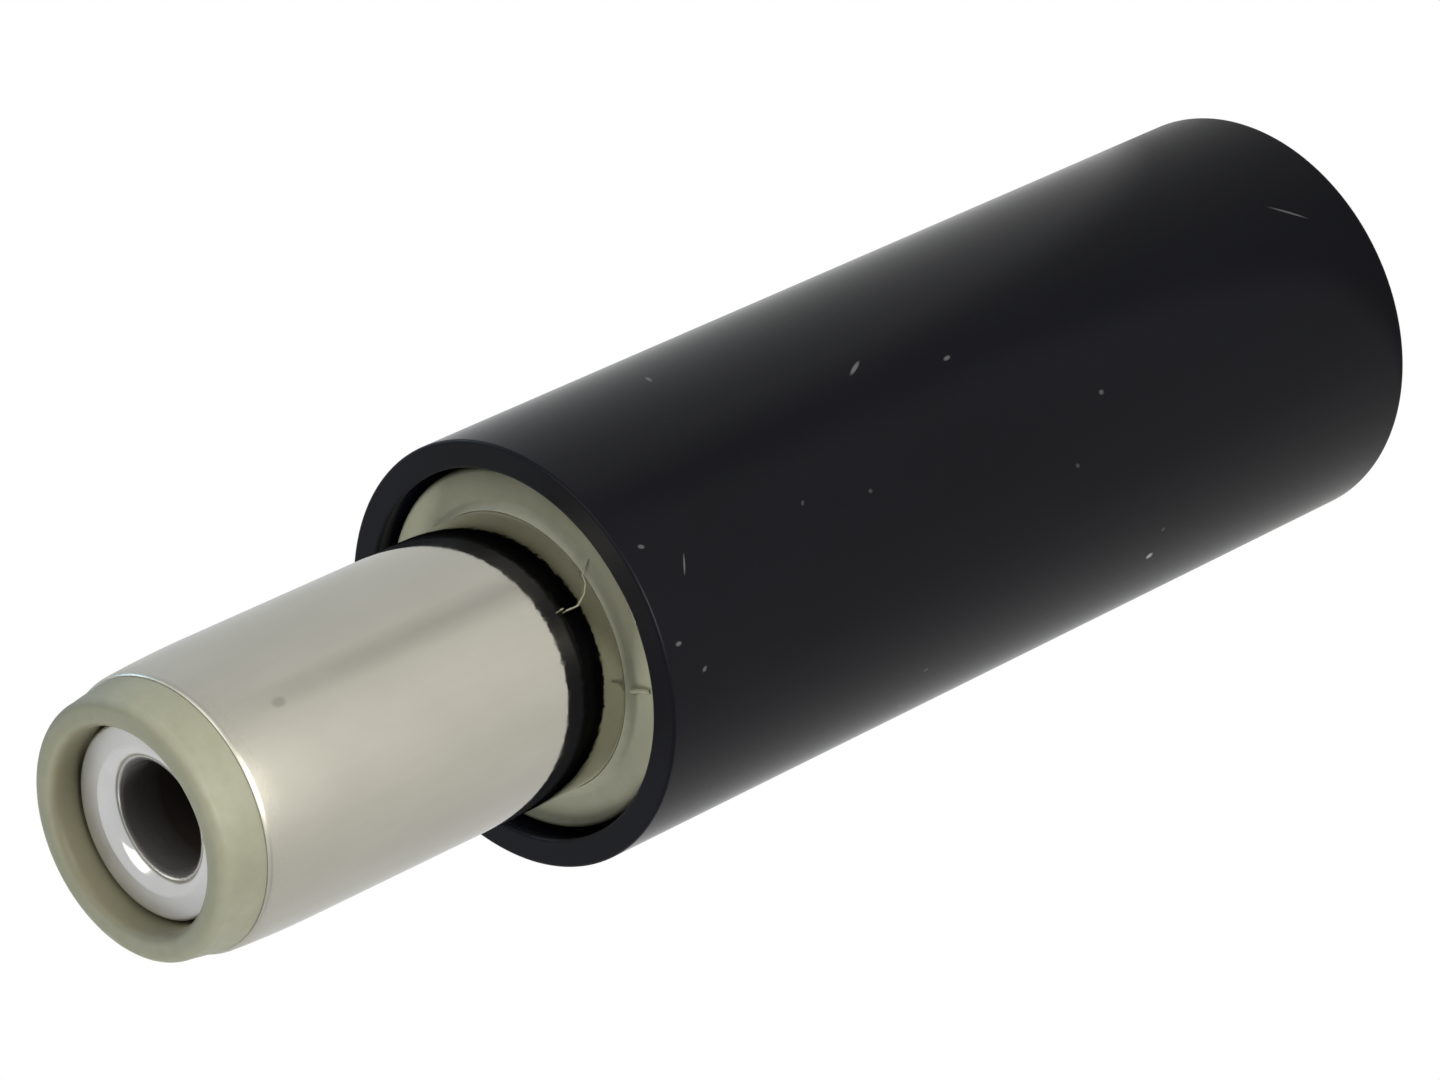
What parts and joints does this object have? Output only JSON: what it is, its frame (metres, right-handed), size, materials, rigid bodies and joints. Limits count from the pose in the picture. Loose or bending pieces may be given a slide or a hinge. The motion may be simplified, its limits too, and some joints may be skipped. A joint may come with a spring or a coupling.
{
  "type": "dc barrel plug",
  "caption": "Straight cable-mounted DC barrel plug: nickel barrel round a socket contact, insulating nose and collar, and a screw-on black handle with a cable hole.",
  "frame": {"origin": "middle of the handle's flat rear end, where the cable goes in", "axes": "+Z along the plug's axis, towards the tip of the nose; +X towards the centre terminal's solder tongue, -X towards the sleeve terminal's strip"},
  "size_m": [0.0084, 0.0084, 0.0309],
  "materials": {
    "handle_plastic": "smooth satin black moulded plastic with fine handling scratches",
    "insulator_plastic": "smooth moulded plastic, grey olive green",
    "barrel_nickel": "nickel-plated brass, softly polished, with fine lengthwise rubbing marks",
    "contact_nickel": "nickel-plated brass, turned and bright",
    "washer_board": "plain pressed insulating board",
    "tinned_sheet": "tinned brass sheet, dull and lightly brushed"
  },
  "bodies": {
    "handle": {"handle": "handle_plastic"},
    "thread_follower": {"rear_insulator": "washer_board"},
    "plug_insert": {"insulator_body": "insulator_plastic", "barrel": "barrel_nickel", "centre_contact": "contact_nickel", "centre_terminal": "tinned_sheet", "sleeve_terminal": "tinned_sheet"}
  },
  "joints": [
    {"name": "unscrew_rise", "type": "slide", "parent": "handle", "child": "thread_follower", "axis": [0, 0, 1], "range_m": [0, 0.0045]},
    {"name": "unscrew_turn", "type": "hinge", "parent": "thread_follower", "child": "plug_insert", "pos_m": [0, 0, 0.01958], "axis": [0, 0, 1], "range_deg": [0, 2160]}
  ],
  "couplings": [
    {"joint": "unscrew_turn", "follows": "unscrew_rise", "rad_per_m": 8377.6}
  ]
}
